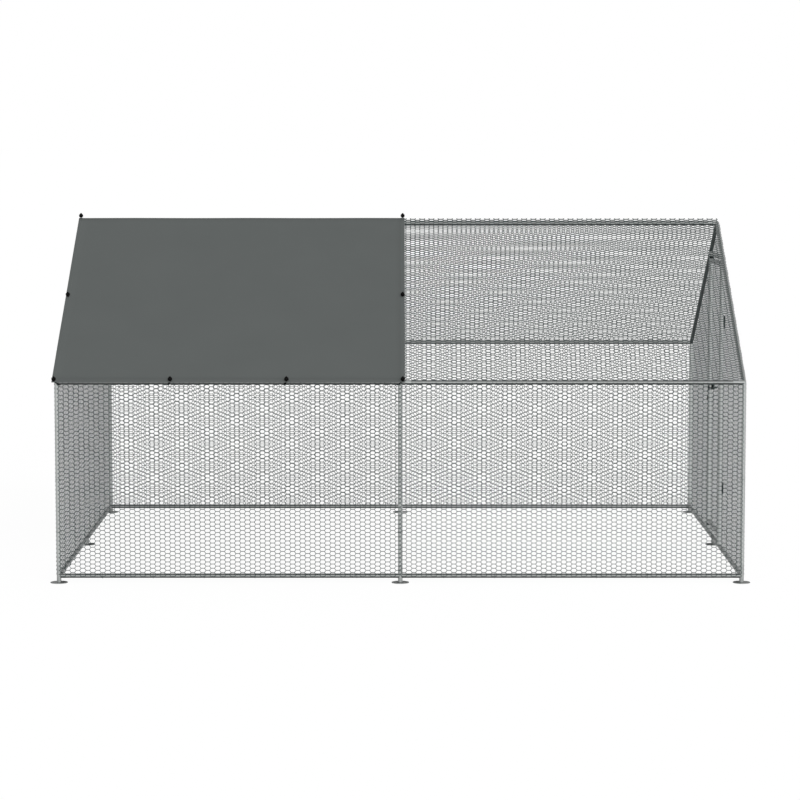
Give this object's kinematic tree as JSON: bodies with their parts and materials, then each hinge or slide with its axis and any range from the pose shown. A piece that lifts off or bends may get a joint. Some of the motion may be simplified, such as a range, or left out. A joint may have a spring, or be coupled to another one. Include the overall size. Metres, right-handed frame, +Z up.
{
  "type": "chicken run",
  "caption": "Walk-in poultry run: pitched tube frame with hexagonal wire net, a hinged gable door with a slide latch, and a tied rain cover over one bay.",
  "frame": {"origin": "ground level under the middle of the run", "axes": "+X along the ridge towards the gable with the door, +Y from the front wall to the back wall, +Z up"},
  "size_m": [3.897, 2.8968, 2.0075],
  "materials": {
    "galvanised_steel": "galvanised",
    "zinc_screws": "zinc plated",
    "net_wire": "galvanised wire",
    "black_steel": "satin",
    "black_plastic": "satin",
    "cover_cloth": "coated woven cloth",
    "elastic_cord": "braided elastic"
  },
  "bodies": {
    "frame": {"front_left_post": "galvanised_steel", "front_middle_post": "galvanised_steel", "front_right_post": "galvanised_steel", "back_left_post": "galvanised_steel", "back_middle_post": "galvanised_steel", "back_right_post": "galvanised_steel", "front_left_eave_rail": "galvanised_steel", "front_right_eave_rail": "galvanised_steel", "back_left_eave_rail": "galvanised_steel", "back_right_eave_rail": "galvanised_steel", "left_ridge_rail": "galvanised_steel", "right_ridge_rail": "galvanised_steel", "front_left_rafter": "galvanised_steel", "front_middle_rafter": "galvanised_steel", "front_right_rafter": "galvanised_steel", "back_left_rafter": "galvanised_steel", "back_middle_rafter": "galvanised_steel", "back_right_rafter": "galvanised_steel", "front_left_base_rail": "galvanised_steel", "front_right_base_rail": "galvanised_steel", "back_left_base_rail": "galvanised_steel", "back_right_base_rail": "galvanised_steel", "left_gable_front_rail": "galvanised_steel", "left_gable_back_rail": "galvanised_steel", "right_gable_front_rail": "galvanised_steel", "right_gable_back_rail": "galvanised_steel", "front_door_jamb": "galvanised_steel", "back_door_jamb": "galvanised_steel", "door_head": "galvanised_steel", "corner_feet": "galvanised_steel", "middle_feet": "galvanised_steel", "gable_feet": "galvanised_steel", "eave_corner_fittings": "galvanised_steel", "eave_middle_fittings": "galvanised_steel", "ridge_end_fittings": "galvanised_steel", "ridge_middle_fitting": "galvanised_steel", "jamb_saddles": "galvanised_steel", "frame_screws": "zinc_screws", "hinge_jamb_leaves": "black_steel", "hinge_pins": "zinc_screws", "latch_keeper": "black_plastic", "door_stop": "black_steel", "front_wall_net": "net_wire", "back_wall_net": "net_wire", "front_roof_net": "net_wire", "back_roof_net": "net_wire", "left_gable_net": "net_wire", "right_gable_net": "net_wire", "cover": "cover_cloth", "cover_eyelets": "zinc_screws", "bungee_balls": "black_plastic", "bungee_cords": "elastic_cord"},
    "door": {"door_hinge_stile": "galvanised_steel", "door_latch_stile": "galvanised_steel", "door_rails": "galvanised_steel", "door_end_caps": "black_plastic", "hinge_door_leaves": "black_steel", "latch_guide": "black_plastic", "door_net": "net_wire"},
    "bolt": {"latch_bolt": "black_steel"}
  },
  "joints": [
    {"name": "door_swing", "type": "hinge", "parent": "frame", "child": "door", "pos_m": [1.9175, -0.2945, 0.88], "axis": [0, 0, -1], "range_deg": [0, 170]},
    {"name": "latch_slide", "type": "slide", "parent": "door", "child": "bolt", "axis": [0, 1, 0], "range_m": [0, 0.026]}
  ]
}
